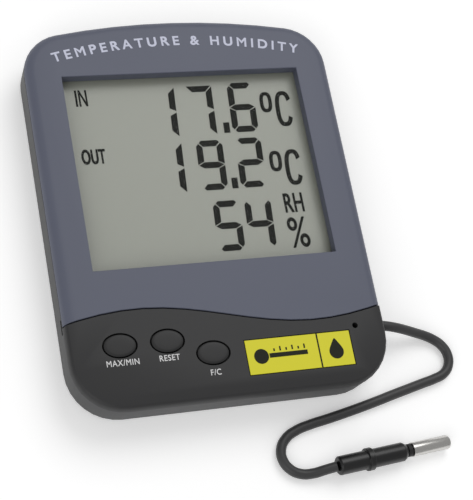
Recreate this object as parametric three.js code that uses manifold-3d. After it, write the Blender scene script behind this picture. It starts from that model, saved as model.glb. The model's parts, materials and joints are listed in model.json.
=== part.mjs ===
// Max-min thermo-hygrometer with an outdoor probe on a cord, in millimetres.
// +X runs across the display, +Y towards its top and +Z out of it. The object lies on its back, and the
// origin is the middle of the case's footprint on the surface that it lies on.
import * as THREE from "three";
import { mergeVertices } from "three/addons/utils/BufferGeometryUtils.js";
import Module from "manifold-3d";

const wasm = await Module();
wasm.setup();

// ---- Driving dimensions ----

const GAP = 0.3; // between pieces that touch
const ARC_STEPS = 4; // an arc gets twice as many segments
const ROUND_STEPS = 4;
const OVAL_STEPS = 16;

// Case
const CASE_WIDTH = 108;
const CASE_HEIGHT = 136.5;
const FRONT_DEPTH = 3; // of the front mouldings, above the joint with the rear case
const TOP_CORNER = 15;
const BOTTOM_CORNER = 17;
const ARCH_RADIUS = 250;
const WALL = 2;
const FLOOR = 1.8;
const DRAFT = 0.45; // how far the side walls lean in from the seam to the back
const BACK_ROUND = 3;
const BEZEL_ROUND = 3.5;
const PANEL_ROUND = 1.5;

// Front mouldings
const BEZEL_PLATE = 1.8;
const PANEL_PLATE = 2;
const DECK_PLATE = 1.5;
const LIP_DEPTH = 1.9;
const LIP_WALL = 1.2;
const LIP_CLEARANCE = 0.3;
const PANEL_HEIGHT = 28; // middle of the wavy joint, above the bottom edge
const WAVE_RISE = 4.6;
const WAVE_LENGTH = 120;
const WAVE_CREST = -30;
const WAVE_STEPS = 16;
const WAVE_GAP = 0.5;

// Display
const WINDOW_WIDTH = 84;
const WINDOW_HEIGHT = 69.6;
const WINDOW_TOP_MARGIN = 20.4;
const WINDOW_SKIRT = 1.2; // wall round the window that the bezel carries down to the display
const FRAME_WIDTH = 2.7;
const FRAME_DROP = 0.3;
const LENS_THICKNESS = 0.6;
const LENS_MARGIN = 3;
const GLASS_THICKNESS = 1.1;
const GLASS_MARGIN = 1.7;
const GLASS_LEDGE = 3.7;
const CONNECTOR_WIDTH = 1.8;
const REFLECTOR_THICKNESS = 0.3;
const HOLDER_WALL = 1.2;

// Board
const BOARD_BACK = 4.3;
const BOARD_THICKNESS = 1.6;
const BOARD_HALF_WIDTH = 46;
const BOARD_TOP_MARGIN = 15.7; // from the case's top edge
const BOARD_CLEARANCE = 0.9;
const TAIL_LEFT = 40; // of the board's tail under the buttons, left of the middle
const BOARD_SCREW_X = 43;
const BOARD_SCREW_HEIGHT = 35.25; // above the bottom edge
const BOARD_PART_HEIGHT = 28.25; // of the small parts, above the bottom edge

// Buttons
const BUTTON_HOLE = [11.6, 8.4];
const BUTTON_RING = 0.45;
const BUTTON_PROUD = 0.2;
const BUTTON_TRAVEL = 0.6;
const BUTTON_LIP = 0.8;
const BUTTON_BASE_Y = 21; // of the left pair, above the bottom edge
const BUTTONS = [
  ["max_min", -37.2, 0],
  ["reset", -21.6, 0],
  ["unit", -7.2, -5.4],
];
const SWITCH_SIZE = 6;
const SWITCH_HEIGHT = 3.4;
const PLUNGER_RADIUS = 1.6;
const PLUNGER_PROUD = 1.3;

// Label plate and the small front hole
const LABEL_SIZE = [36.5, 11.6];
const LABEL_CENTRE = [22.05, 12.7]; // above the bottom edge
const LABEL_THICKNESS = 0.25;
const FRONT_HOLE_RADIUS = 1;
const FRONT_HOLE_CENTRE = [43, 20]; // above the bottom edge

// Battery bay
const CELL_RADIUS = 5.25;
const CELL_LENGTH = 44.5;
const CELL_NUB = [1.9, 0.8];
const CELL_X = 1.2; // flat end of the cell
const BAY_LEFT = -2.5;
const BAY_LENGTH = 49.5;
const BAY_MIDDLE = 13.25; // above the bottom edge
const BAY_CLEARANCE = 0.65;
const BAY_ROOF_CLEARANCE = 0.2;
const BAY_WALL = 1.2;
const BAY_ROOF = 0.75;
const CONTACT_THICKNESS = 0.4;
const CONTACT_SIZE = 7.6;
const CONTACT_CLEARANCE = 0.5; // above it, where the bay is lower to clear the unit button
const TAB_WIDTH = 2.4;
const TAB_REACH = 1.6;
const DOOR_THICKNESS = 1.3;
const DOOR_GAP = 0.35;
const DOOR_RECESS = 0.15;
const DOOR_PIN = [0.45, 0.9];
const DOOR_PIN_CLEARANCE = 0.2;

// Kickstand
const STAND_LEFT = -37.5;
const STAND_WIDTH = 29.5;
const STAND_LENGTH = 32;
const STAND_THICKNESS = 2;
const STAND_PIVOT = 10.25; // above the bottom edge
const STAND_PIVOT_Z = 1.4;
const STAND_BARREL = 1.15;
const STAND_PIN = [0.8, 1.2];
const STAND_GAP = 0.4;
const STAND_BAY_WALL = 1.9;
const STAND_POCKET_DEPTH = 2.9;
const STAND_ROOF = 0.9;
const NOTCH_SIZE = [16, 8];

// Screws
const SCREW_SHANK = 1.1;
const SCREW_HEAD = [2.5, 1.7];
const SCREW_CLEARANCE = 0.3;
const SCREW_RECESS = 0.3; // a case screw's head sits this far inside the back
const SCREW_SLOT = [3, 0.6, 0.7];
const BOSS_RADIUS = 2.8;
const BOSS_BASE = 4.2;
const BOSS_SPLIT = 8;
const TOP_SCREW = [8.5, 11.25]; // in from the side, down from the top
const LEFT_SCREW = [8, 11.25]; // in from the side, up from the bottom
const RIGHT_SCREW = [6, 29.25];

// Hanging keyhole, back vents and the side slot
const KEYHOLE_DROP = 21.25; // of the head end, below the top edge
const KEYHOLE_HEAD = 4.2;
const KEYHOLE_NECK = 2;
const KEYHOLE_RISE = 8;
const KEYHOLE_POCKET = 2.9;
const KEYHOLE_WALL = 1;
const KEYHOLE_PLATE = 0.9; // the lip that a hanging screw's head catches behind
const VENT_COUNT = 6;
const VENT_SIZE = [12, 1.4];
const VENT_PITCH = 3.2;
const VENT_START = [-39, 54.25]; // the second is above the bottom edge
const SIDE_SLOT_SIZE = [5, 1.5];
const SIDE_SLOT_PLACE = [30.05, 1.55]; // above the bottom edge, below the seam

// Cord and probe
const CORD_RADIUS = 1.7;
const CORD_EXIT_PLACE = [21.65, 8]; // above the bottom edge, above the table
const CORD_STEPS = 44;
const CORD_SIDES = 8;
const GROMMET_NECK = 2.6;
const GROMMET_FLANGE = [3.7, 1.2];
const GROMMET_PROUD = 0.6;
const PROBE_ANGLE = 5.1; // degrees, from +X
const PROBE_START = [31.6, -91.9];
const PROBE_BODY = [3.2, 25.6];
const PROBE_RING = [3.85, 2, 11.5]; // radius, width, distance of its middle from the cord end
const PROBE_COLLAR = [2.2, 1.5];
const PROBE_TIP = [2.45, 14.4];
const PROBE_LIFT = 0.1; // keeps the tilted ring's edge off the surface

// The cord's route from the grommet to the probe, chosen by hand.
const CORD_ROUTE = [
  [54.65, -46.6, 8],
  [57.6, -47.1, 7.9],
  [60.2, -47.6, 7.6],
  [63.2, -48.2, 6.8],
  [66.4, -48.8, 5.5],
  [69.8, -49.5, 4],
  [73.4, -50.4, 2.7],
  [76.8, -51.9, 1.9],
  [79.6, -54.4, 1.75],
  [81, -57.9, 1.75],
  [80.4, -61.6, 1.75],
  [77.9, -64.4, 1.75],
  [74.2, -65.8, 1.75],
  [69.5, -66.9, 1.75],
  [64, -68.2, 1.75],
  [58, -69.6, 1.75],
  [51.5, -71.2, 1.75],
  [45, -72.7, 1.75],
  [38.4, -74.1, 1.75],
  [32.3, -75.3, 1.75],
  [26.2, -76.4, 1.75],
  [20.6, -77.9, 1.75],
  [16.6, -80.1, 1.75],
  [14.3, -83.4, 1.75],
  [14.2, -87.2, 1.75],
  [16.2, -90.5, 1.75],
  [19.6, -92.4, 1.8],
  [23.4, -92.8, 2.4],
  [27.2, -92.4, 3.5],
  [31.2, -91.93, 4.4],
];

// ---- Values worked out from the dimensions ----

const BOTTOM = -CASE_HEIGHT / 2;
const HALF_WIDTH = CASE_WIDTH / 2;
const CELL_CENTRE_HEIGHT = DOOR_RECESS + DOOR_THICKNESS + GAP + CELL_RADIUS;
const BAY_CEILING = CELL_CENTRE_HEIGHT + CELL_RADIUS + BAY_ROOF_CLEARANCE;
const SPRING_CEILING = CELL_CENTRE_HEIGHT + CONTACT_SIZE / 2 + CONTACT_CLEARANCE;
const SEAM = BAY_CEILING + BAY_ROOF + GAP;
const FACE = SEAM + FRONT_DEPTH;
const BEZEL_UNDERSIDE = FACE - BEZEL_PLATE;
const PANEL_UNDERSIDE = FACE - PANEL_PLATE;
const DECK_TOP = BEZEL_UNDERSIDE - GAP;
const DECK_UNDERSIDE = DECK_TOP - DECK_PLATE;
const DECK_INSET = WALL + GAP;
const LIP_INSET = WALL + LIP_CLEARANCE;
const WINDOW_Y = CASE_HEIGHT / 2 - WINDOW_TOP_MARGIN - WINDOW_HEIGHT / 2;
const DECK_WINDOW = WINDOW_SKIRT + GAP; // larger than the bezel's by this on each side
const LENS_TOP = DECK_UNDERSIDE - FRAME_DROP - GAP;
const GLASS_TOP = LENS_TOP - LENS_THICKNESS - GAP;
const REAR_GLASS_TOP = GLASS_TOP - GLASS_THICKNESS - GAP;
const REFLECTOR_TOP = REAR_GLASS_TOP - GLASS_THICKNESS - GAP;
const BOARD_FRONT = BOARD_BACK + BOARD_THICKNESS;
const ON_BOARD = BOARD_FRONT + GAP;
const BUTTON_LINE = BOTTOM + BUTTON_BASE_Y;
const CORD_EXIT = [BOTTOM + CORD_EXIT_PLACE[0], CORD_EXIT_PLACE[1]]; // Y and Z
const BAY_HALF = CELL_RADIUS + BAY_CLEARANCE;
const BAY_RIGHT = BAY_LEFT + BAY_LENGTH;
const BAY_MIDDLE_Y = BOTTOM + BAY_MIDDLE;
const STAND_PIVOT_Y = BOTTOM + STAND_PIVOT;
const BOARD_SCREW_Y = BOTTOM + BOARD_SCREW_HEIGHT;
const PARTS_Y = BOTTOM + BOARD_PART_HEIGHT;
const KEYHOLE_Y = -BOTTOM - KEYHOLE_DROP;
const SLOT_Y = BOTTOM + SIDE_SLOT_PLACE[0];
const THERMISTOR_X = 3.5 - BOARD_HALF_WIDTH;
const CASE_SCREWS = [
  [TOP_SCREW[0] - HALF_WIDTH, -BOTTOM - TOP_SCREW[1]],
  [HALF_WIDTH - TOP_SCREW[0], -BOTTOM - TOP_SCREW[1]],
  [LEFT_SCREW[0] - HALF_WIDTH, BOTTOM + LEFT_SCREW[1]],
  [HALF_WIDTH - RIGHT_SCREW[0], BOTTOM + RIGHT_SCREW[1]],
];
const STAND_TIP_Y = STAND_PIVOT_Y + STAND_LENGTH;

// ---- Materials ----

function plastic(color, roughness) {
  return new THREE.MeshStandardMaterial({ color, roughness, metalness: 0 });
}

function metal(color, roughness) {
  return new THREE.MeshStandardMaterial({ color, roughness, metalness: 1 });
}

const slate = plastic(0x64677a, 0.5);
const charcoal = plastic(0x393939, 0.55);
const rearGrey = plastic(0x4b4d4e, 0.6);
const clear = plastic(0xe8ecee, 0.1);
const glass = plastic(0xa0a398, 0.2);
const silver = plastic(0xb4b8b0, 0.4);
const white = plastic(0xe4e4e0, 0.6);
const connector = plastic(0xd79a9a, 0.8);
const boardGreen = plastic(0x1d5a36, 0.5);
const black = plastic(0x151515, 0.5);
const yellow = plastic(0xd2cd32, 0.5);
const red = plastic(0xb02a22, 0.5);
const cordBlack = plastic(0x333333, 0.6);
const steel = metal(0xc8c8c8, 0.25);
const nickel = metal(0xb8b6ac, 0.35);

// ---- Solids: joining and cutting ----

function solid(geometry) {
  const bare = geometry.clone();
  bare.deleteAttribute("normal");
  bare.deleteAttribute("uv");
  const merged = mergeVertices(bare, 1e-4);
  const mesh = new wasm.Mesh({
    numProp: 3,
    vertProperties: merged.attributes.position.array,
    triVerts: new Uint32Array(merged.index.array),
  });
  return new wasm.Manifold(mesh);
}

function geometryOf(made) {
  const mesh = made.getMesh();
  const geometry = new THREE.BufferGeometry();
  geometry.setAttribute("position", new THREE.BufferAttribute(mesh.vertProperties, 3));
  geometry.setIndex(new THREE.BufferAttribute(mesh.triVerts, 1));
  return geometry;
}

function joined(...solids) {
  return solids.reduce((all, next) => all.add(next));
}

// ---- Simple solids ----

// A box between two corners.
function block(low, high) {
  const size = high.map((value, i) => value - low[i]);
  const geometry = new THREE.BoxGeometry(...size);
  geometry.translate(...low.map((value, i) => value + size[i] / 2));
  return solid(geometry);
}

// A box centred in X and Y, between two heights.
function slab(centre, size, bottom, top) {
  const low = [centre[0] - size[0] / 2, centre[1] - size[1] / 2, bottom];
  return block(low, [low[0] + size[0], low[1] + size[1], top]);
}

function post(centre, radius, bottom, top, sides = 20) {
  const geometry = new THREE.CylinderGeometry(radius, radius, top - bottom, sides);
  geometry.rotateX(Math.PI / 2);
  geometry.translate(centre[0], centre[1], (bottom + top) / 2);
  return solid(geometry);
}

function prism(shape, bottom, top, arcSteps = ARC_STEPS) {
  const geometry = new THREE.ExtrudeGeometry(shape, {
    depth: top - bottom,
    bevelEnabled: false,
    curveSegments: arcSteps,
  });
  geometry.translate(0, 0, bottom);
  return solid(geometry);
}

function polygon(points) {
  return new THREE.Shape(points.map((point) => new THREE.Vector2(...point)));
}

// A ring or a disc turned about +Z from [radius, height] pairs.
function turned(profile, sides) {
  const points = profile.map((pair) => new THREE.Vector2(...pair));
  const geometry = new THREE.LatheGeometry(points, sides);
  geometry.rotateX(Math.PI / 2);
  return geometry;
}

// A round bar along a curve.
function bar(points, radius, steps, sides) {
  const section = [];
  for (let i = 0; i < sides; i++) {
    const angle = (2 * Math.PI * i) / sides;
    section.push([radius * Math.cos(angle), radius * Math.sin(angle)]);
  }
  const curve = new THREE.CatmullRomCurve3(points.map((point) => new THREE.Vector3(...point)));
  return new THREE.ExtrudeGeometry(polygon(section), { steps, extrudePath: curve });
}

// ---- Case outline ----

// Straight sides, round corners and an arched top, moved inwards by inset.
function caseOutline(inset) {
  const archY = CASE_HEIGHT / 2 - ARCH_RADIUS;
  const topX = HALF_WIDTH - TOP_CORNER;
  const topY = archY + Math.sqrt((ARCH_RADIUS - TOP_CORNER) ** 2 - topX ** 2);
  const lowX = HALF_WIDTH - BOTTOM_CORNER;
  const lowY = BOTTOM + BOTTOM_CORNER;
  const lean = Math.atan2(topX, topY - archY);
  const quarter = Math.PI / 2;
  const shape = new THREE.Shape();
  shape.moveTo(-lowX, BOTTOM + inset);
  shape.lineTo(lowX, BOTTOM + inset);
  shape.absarc(lowX, lowY, BOTTOM_CORNER - inset, -quarter, 0, false);
  shape.lineTo(HALF_WIDTH - inset, topY);
  shape.absarc(topX, topY, TOP_CORNER - inset, 0, quarter - lean, false);
  shape.absarc(0, archY, ARCH_RADIUS - inset, quarter - lean, quarter + lean, false);
  shape.absarc(-topX, topY, TOP_CORNER - inset, quarter + lean, 2 * quarter, false);
  shape.lineTo(inset - HALF_WIDTH, lowY);
  shape.absarc(-lowX, lowY, BOTTOM_CORNER - inset, 2 * quarter, 3 * quarter, false);
  return shape;
}

function waveY(x) {
  const middle = BOTTOM + PANEL_HEIGHT;
  return middle + WAVE_RISE * Math.cos((2 * Math.PI * (x - WAVE_CREST)) / WAVE_LENGTH);
}

// Everything above (+1) or below (-1) the wavy joint, kept back from it by half its gap.
function waveSide(side) {
  const reach = HALF_WIDTH + WALL;
  const points = [];
  for (let i = 0; i <= WAVE_STEPS; i++) {
    const x = reach * ((2 * i) / WAVE_STEPS - 1);
    points.push([x, waveY(x) + (side * WAVE_GAP) / 2]);
  }
  points.push([reach, side * CASE_HEIGHT], [-reach, side * CASE_HEIGHT]);
  return prism(polygon(points), 0, FACE + WALL);
}

// The front's outer form: its edge falls from the face to the seam as a quarter of an ellipse.
function frontForm(round) {
  const drop = FACE - SEAM;
  const geometry = new THREE.ExtrudeGeometry(caseOutline(round), {
    depth: drop,
    bevelThickness: drop,
    bevelSize: round,
    bevelSegments: ROUND_STEPS,
    curveSegments: ARC_STEPS,
  });
  geometry.translate(0, 0, SEAM - drop);
  const above = slab([0, 0], [2 * CASE_WIDTH, 2 * CASE_HEIGHT], SEAM + GAP / 2, FACE + WALL);
  return solid(geometry).intersect(above);
}

// Leans the side walls in towards the back.
function drafted(geometry) {
  const at = geometry.getAttribute("position");
  for (let i = 0; i < at.count; i++) {
    const below = Math.max(0, SEAM - at.getZ(i)) / SEAM;
    const share = 1 - (DRAFT / HALF_WIDTH) * below;
    at.setXY(i, at.getX(i) * share, at.getY(i) * share);
  }
  return geometry;
}

function windowCut(grow, bottom, top) {
  const size = [WINDOW_WIDTH + 2 * grow, WINDOW_HEIGHT + 2 * grow];
  return slab([0, WINDOW_Y], size, bottom, top);
}

// ---- Front mouldings ----

function frontBezel() {
  const inside = prism(caseOutline(WALL), 0, BEZEL_UNDERSIDE);
  const shell = frontForm(BEZEL_ROUND).intersect(waveSide(1)).subtract(inside);
  const skirt = windowCut(WINDOW_SKIRT, LENS_TOP + GAP, BEZEL_UNDERSIDE + GAP);
  return shell.add(skirt).subtract(windowCut(0, 0, FACE + WALL));
}

function ellipse(centre, size) {
  const shape = new THREE.Shape();
  shape.absellipse(centre[0], centre[1], size[0] / 2, size[1] / 2, 0, 2 * Math.PI);
  return shape;
}

function buttonCentre([, x, drop]) {
  return [x, BUTTON_LINE + drop];
}

function bossTop([, y]) {
  return (y < BOTTOM + PANEL_HEIGHT - WAVE_RISE ? PANEL_UNDERSIDE : DECK_UNDERSIDE) + GAP;
}

// The room for the cell and, lower, for the spring at its left, grown by a wall and a roof.
function bayRoom(grow, roof) {
  const low = BAY_MIDDLE_Y - BAY_HALF - grow;
  const high = BAY_MIDDLE_Y + BAY_HALF + grow;
  const forCell = block([CELL_X - GAP - grow, low, 0], [BAY_RIGHT + grow, high, BAY_CEILING + roof]);
  return forCell.add(block([BAY_LEFT - grow, low, 0], [CELL_X, high, SPRING_CEILING + roof]));
}

function sideSlot() {
  const [length, height] = SIDE_SLOT_SIZE;
  const z = SEAM - SIDE_SLOT_PLACE[1];
  const low = [-HALF_WIDTH - WALL, SLOT_Y - length / 2, z - height / 2];
  return block(low, [-HALF_WIDTH + 3 * WALL, SLOT_Y + length / 2, z + height / 2]);
}

// The charcoal moulding: the panel below the wave, the deck under the bezel, and the lip inside the rear case.
function frontCase() {
  const deck = prism(caseOutline(DECK_INSET), DECK_UNDERSIDE, DECK_TOP);
  const panel = frontForm(PANEL_ROUND).intersect(waveSide(-1));
  const lipFoot = DECK_UNDERSIDE - LIP_DEPTH;
  const lip = prism(caseOutline(LIP_INSET), lipFoot, DECK_UNDERSIDE + GAP);
  const lipInside = prism(caseOutline(LIP_INSET + LIP_WALL), 0, DECK_UNDERSIDE);
  const frame = windowCut(FRAME_WIDTH, DECK_UNDERSIDE - FRAME_DROP, DECK_UNDERSIDE + GAP);
  let made = joined(deck, panel, lip.subtract(lipInside), frame);

  const pocket = prism(caseOutline(LIP_INSET + LIP_WALL), 0, PANEL_UNDERSIDE);
  made = made.subtract(pocket.intersect(shiftedWave(-2 * WALL)));
  made = made.subtract(windowCut(DECK_WINDOW, 0, FACE + WALL));
  for (const screw of CASE_SCREWS) {
    const boss = post(screw, BOSS_RADIUS, BOSS_SPLIT + GAP, bossTop(screw));
    made = made.add(boss.intersect(prism(caseOutline(LIP_INSET), 0, FACE)));
  }
  const boardPost = ON_BOARD + (DECK_UNDERSIDE - ON_BOARD) / 2;
  for (const side of [-1, 1]) {
    const place = [side * BOARD_SCREW_X, BOARD_SCREW_Y];
    const tube = post(place, BOSS_RADIUS, ON_BOARD, DECK_UNDERSIDE + GAP);
    const pilot = post(place, SCREW_SHANK + SCREW_CLEARANCE, 0, boardPost);
    made = made.add(tube).subtract(pilot);
  }
  for (const screw of CASE_SCREWS) {
    const pilot = post(screw, SCREW_SHANK + SCREW_CLEARANCE, 0, DECK_UNDERSIDE);
    made = made.subtract(pilot);
  }
  for (const button of BUTTONS) {
    made = made.subtract(prism(ellipse(buttonCentre(button), BUTTON_HOLE), 0, FACE + WALL, OVAL_STEPS));
  }
  const [holeX, holeY] = FRONT_HOLE_CENTRE;
  made = made.subtract(post([holeX, BOTTOM + holeY], FRONT_HOLE_RADIUS, 0, FACE + WALL));
  const labelSize = LABEL_SIZE.map((value) => value + 2 * GAP);
  const labelFloor = FACE - LABEL_THICKNESS - GAP;
  made = made.subtract(slab(labelCentre(), labelSize, labelFloor, FACE + WALL));
  const flangeRoom = GROMMET_FLANGE[0] + GAP;
  const notch = slab([HALF_WIDTH, CORD_EXIT[0]], [6 * WALL, 2 * flangeRoom], 0, CORD_EXIT[1] + flangeRoom);
  return made.subtract(bayRoom(BAY_WALL + GAP, BAY_ROOF + GAP)).subtract(sideSlot()).subtract(notch);
}

// Everything lower than the wavy joint moved down by a margin.
function shiftedWave(shift) {
  return waveSide(-1).translate([0, shift, 0]);
}

function labelCentre() {
  return [LABEL_CENTRE[0], BOTTOM + LABEL_CENTRE[1]];
}

function labelPlate() {
  return slab(labelCentre(), LABEL_SIZE, FACE - LABEL_THICKNESS, FACE);
}

// ---- Rear case ----

function standPocket() {
  const [notchWidth, notchLength] = NOTCH_SIZE;
  const middle = STAND_LEFT + STAND_WIDTH / 2;
  const low = [STAND_LEFT - STAND_GAP, STAND_PIVOT_Y - 2 * WALL, -WALL];
  const high = [STAND_LEFT + STAND_WIDTH + STAND_GAP, STAND_TIP_Y + STAND_GAP, STAND_POCKET_DEPTH];
  const notchLow = [middle - notchWidth / 2, STAND_TIP_Y - WALL, -WALL];
  const notchHigh = [middle + notchWidth / 2, STAND_TIP_Y + notchLength, STAND_POCKET_DEPTH - GAP];
  return { low, high, cut: block(low, high).add(block(notchLow, notchHigh)) };
}

// Two sockets for the kickstand's pins, along X.
function pinSockets() {
  const [radius, length] = STAND_PIN;
  const reach = length + STAND_GAP + GAP;
  const geometry = new THREE.CylinderGeometry(radius + GAP, radius + GAP, STAND_WIDTH + 2 * reach, 16);
  geometry.rotateZ(Math.PI / 2);
  geometry.translate(STAND_LEFT + STAND_WIDTH / 2, STAND_PIVOT_Y, STAND_PIVOT_Z);
  return solid(geometry);
}

function keyholeCut(bottom, top) {
  const slot = slab([0, KEYHOLE_Y + KEYHOLE_RISE / 2], [2 * KEYHOLE_NECK, KEYHOLE_RISE], bottom, top);
  const neck = post([0, KEYHOLE_Y + KEYHOLE_RISE], KEYHOLE_NECK, bottom, top);
  return joined(post([0, KEYHOLE_Y], KEYHOLE_HEAD, bottom, top), slot, neck);
}

function keyholeBlock(grow, bottom, top) {
  const half = KEYHOLE_HEAD + grow;
  const low = [-half, KEYHOLE_Y - half, bottom];
  return block(low, [half, KEYHOLE_Y + KEYHOLE_RISE + half, top]);
}

function rearCase() {
  const outerShape = new THREE.ExtrudeGeometry(caseOutline(BACK_ROUND), {
    depth: SEAM,
    bevelThickness: BACK_ROUND,
    bevelSize: BACK_ROUND,
    bevelSegments: ROUND_STEPS - 1,
    curveSegments: ARC_STEPS,
  });
  outerShape.translate(0, 0, BACK_ROUND);
  const everything = [2 * CASE_WIDTH, 2 * CASE_HEIGHT];
  const below = slab([0, 0], everything, -WALL, SEAM - GAP / 2);
  const outer = solid(drafted(outerShape)).intersect(below);
  const innerShape = new THREE.ExtrudeGeometry(caseOutline(WALL), {
    depth: SEAM - FLOOR,
    bevelEnabled: false,
    curveSegments: ARC_STEPS,
  });
  innerShape.translate(0, 0, FLOOR);
  let made = outer.subtract(solid(drafted(innerShape)));

  const pocket = standPocket();
  const bayLow = [pocket.low[0] - STAND_BAY_WALL, pocket.low[1] - STAND_BAY_WALL, 0];
  const roof = STAND_POCKET_DEPTH + STAND_ROOF;
  const bayHigh = [pocket.high[0] + STAND_BAY_WALL, pocket.high[1] + NOTCH_SIZE[1] + WALL, roof];
  made = made.add(block(bayLow, bayHigh).intersect(outer));
  made = made.add(bayRoom(BAY_WALL, BAY_ROOF).intersect(outer));
  made = made.add(keyholeBlock(KEYHOLE_WALL, 0, KEYHOLE_POCKET + KEYHOLE_WALL).intersect(outer));
  for (const screw of CASE_SCREWS) {
    const base = post(screw, BOSS_BASE, 0, BOARD_BACK - 2 * GAP).intersect(outer);
    made = made.add(base).add(post(screw, BOSS_RADIUS, 0, BOSS_SPLIT));
  }

  for (const screw of CASE_SCREWS) {
    const headPocket = SCREW_HEAD[1] + SCREW_RECESS + GAP;
    const head = post(screw, SCREW_HEAD[0] + SCREW_CLEARANCE, -WALL, headPocket);
    const hole = post(screw, SCREW_SHANK + SCREW_CLEARANCE, -WALL, BOSS_SPLIT + WALL);
    made = made.subtract(head).subtract(hole);
  }
  made = made.subtract(pocket.cut).subtract(pinSockets());
  made = made.subtract(bayRoom(0, 0).add(bayRoom(0, 0).translate([0, 0, -FLOOR])));
  made = made.subtract(tabSlots()).subtract(doorSockets());
  made = made.subtract(keyholeBlock(0, KEYHOLE_PLATE, KEYHOLE_POCKET));
  made = made.subtract(keyholeCut(-WALL, KEYHOLE_POCKET));
  for (let i = 0; i < VENT_COUNT; i++) {
    const centre = [VENT_START[0], BOTTOM + VENT_START[1] + i * VENT_PITCH];
    made = made.subtract(slab(centre, VENT_SIZE, -WALL, FLOOR + WALL));
  }
  const cordHole = new THREE.CylinderGeometry(GROMMET_NECK + GAP, GROMMET_NECK + GAP, 4 * WALL, 20);
  cordHole.rotateZ(Math.PI / 2);
  cordHole.translate(HALF_WIDTH, ...CORD_EXIT);
  return made.subtract(solid(cordHole)).subtract(sideSlot());
}

// ---- Kickstand: a flap on two pins ----

function kickstand() {
  const [pinRadius, pinLength] = STAND_PIN;
  const right = STAND_LEFT + STAND_WIDTH;
  const bottom = STAND_PIVOT_Z - STAND_THICKNESS / 2;
  const low = [STAND_LEFT, STAND_PIVOT_Y, bottom];
  const flap = block(low, [right, STAND_TIP_Y, bottom + STAND_THICKNESS]);
  const middle = STAND_LEFT + STAND_WIDTH / 2;
  const barrel = new THREE.CylinderGeometry(STAND_BARREL, STAND_BARREL, STAND_WIDTH, 16);
  const pin = new THREE.CylinderGeometry(pinRadius, pinRadius, STAND_WIDTH + 2 * pinLength, 16);
  for (const piece of [barrel, pin]) {
    piece.rotateZ(Math.PI / 2);
    piece.translate(middle, STAND_PIVOT_Y, STAND_PIVOT_Z);
  }
  const window = STAND_WIDTH / 2;
  const rib = STAND_THICKNESS / 2;
  const hollow = slab([middle, STAND_PIVOT_Y + STAND_LENGTH / 2], [window, window], bottom + rib, FACE);
  return joined(flap, solid(barrel), solid(pin)).subtract(hollow);
}

// ---- Battery bay pieces ----

const doorPivot = [BAY_LEFT + DOOR_GAP + DOOR_THICKNESS / 2, DOOR_RECESS + DOOR_THICKNESS / 2];
const doorHalf = BAY_HALF - DOOR_GAP;

// A round bar across the bay at the door's hinge line.
function doorBar(radius, length) {
  const geometry = new THREE.CylinderGeometry(radius, radius, length, 16);
  geometry.translate(doorPivot[0], BAY_MIDDLE_Y, doorPivot[1]);
  return solid(geometry);
}

function doorSockets() {
  const [radius, length] = DOOR_PIN;
  return doorBar(radius + DOOR_PIN_CLEARANCE, 2 * (doorHalf + length + GAP));
}

function batteryDoor() {
  const [pinRadius, pinLength] = DOOR_PIN;
  const high = [BAY_RIGHT - DOOR_GAP, BAY_MIDDLE_Y + doorHalf, DOOR_RECESS + DOOR_THICKNESS];
  const leaf = block([doorPivot[0], BAY_MIDDLE_Y - doorHalf, DOOR_RECESS], high);
  const barrel = doorBar(DOOR_THICKNESS / 2, 2 * doorHalf);
  const thumb = slab([BAY_RIGHT - 5, BAY_MIDDLE_Y], [4, 7], -WALL, DOOR_RECESS + DOOR_THICKNESS / 2);
  return joined(leaf, barrel, doorBar(pinRadius, 2 * (doorHalf + pinLength))).subtract(thumb);
}

function cell() {
  const [nubRadius, nubLength] = CELL_NUB;
  const shoulder = CELL_LENGTH - nubLength;
  const profile = [
    [0, 0],
    [CELL_RADIUS - 0.4, 0],
    [CELL_RADIUS, 0.4],
    [CELL_RADIUS, shoulder - 0.4],
    [CELL_RADIUS - 0.4, shoulder],
    [nubRadius, shoulder],
    [nubRadius, CELL_LENGTH],
    [0, CELL_LENGTH],
  ];
  return alongX(turned(profile, 24), [CELL_X, BAY_MIDDLE_Y, CELL_CENTRE_HEIGHT]);
}

// A shape turned about +Z, laid along +X with its foot at a place.
function alongX(geometry, place) {
  geometry.rotateY(Math.PI / 2);
  geometry.translate(...place);
  return geometry;
}

const negativeX = BAY_LEFT + GAP;
const positiveX = CELL_X + CELL_LENGTH + GAP;

// A contact plate with a solder tab that passes through the bay's upper wall.
function contact(x) {
  const half = CONTACT_SIZE / 2;
  const z = CELL_CENTRE_HEIGHT;
  const far = x + CONTACT_THICKNESS;
  const plate = block([x, BAY_MIDDLE_Y - half, z - half], [far, BAY_MIDDLE_Y + half, z + half]);
  const tabEnd = BAY_MIDDLE_Y + BAY_HALF + BAY_WALL + TAB_REACH;
  const tab = block([x, BAY_MIDDLE_Y, z], [far, tabEnd, z + TAB_WIDTH]);
  return plate.add(tab);
}

function tabSlots() {
  const z = CELL_CENTRE_HEIGHT;
  const cuts = [negativeX, positiveX].map((x) => {
    const low = [x - GAP, BAY_MIDDLE_Y + BAY_HALF - GAP, z - GAP];
    const end = BAY_MIDDLE_Y + BAY_HALF + BAY_WALL + GAP;
    return block(low, [x + CONTACT_THICKNESS + GAP, end, z + TAB_WIDTH + GAP]);
  });
  return joined(...cuts);
}

// A conical spring between the negative plate and the flat end of the cell.
function batterySpring() {
  const wire = 0.3;
  const turns = 2.5;
  const start = negativeX + CONTACT_THICKNESS + GAP + wire;
  const end = CELL_X - GAP - wire;
  const points = [];
  const count = 20;
  for (let i = 0; i <= count; i++) {
    const share = i / count;
    const radius = 3.6 - 2 * share;
    const angle = 2 * Math.PI * turns * share;
    const y = BAY_MIDDLE_Y + radius * Math.cos(angle);
    points.push([start + (end - start) * share, y, CELL_CENTRE_HEIGHT + radius * Math.sin(angle)]);
  }
  return bar(points, wire, 48, 6);
}

// ---- Display stack ----

function displaySheet(size, top, thickness) {
  return slab([0, WINDOW_Y], size, top - thickness, top);
}

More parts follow.
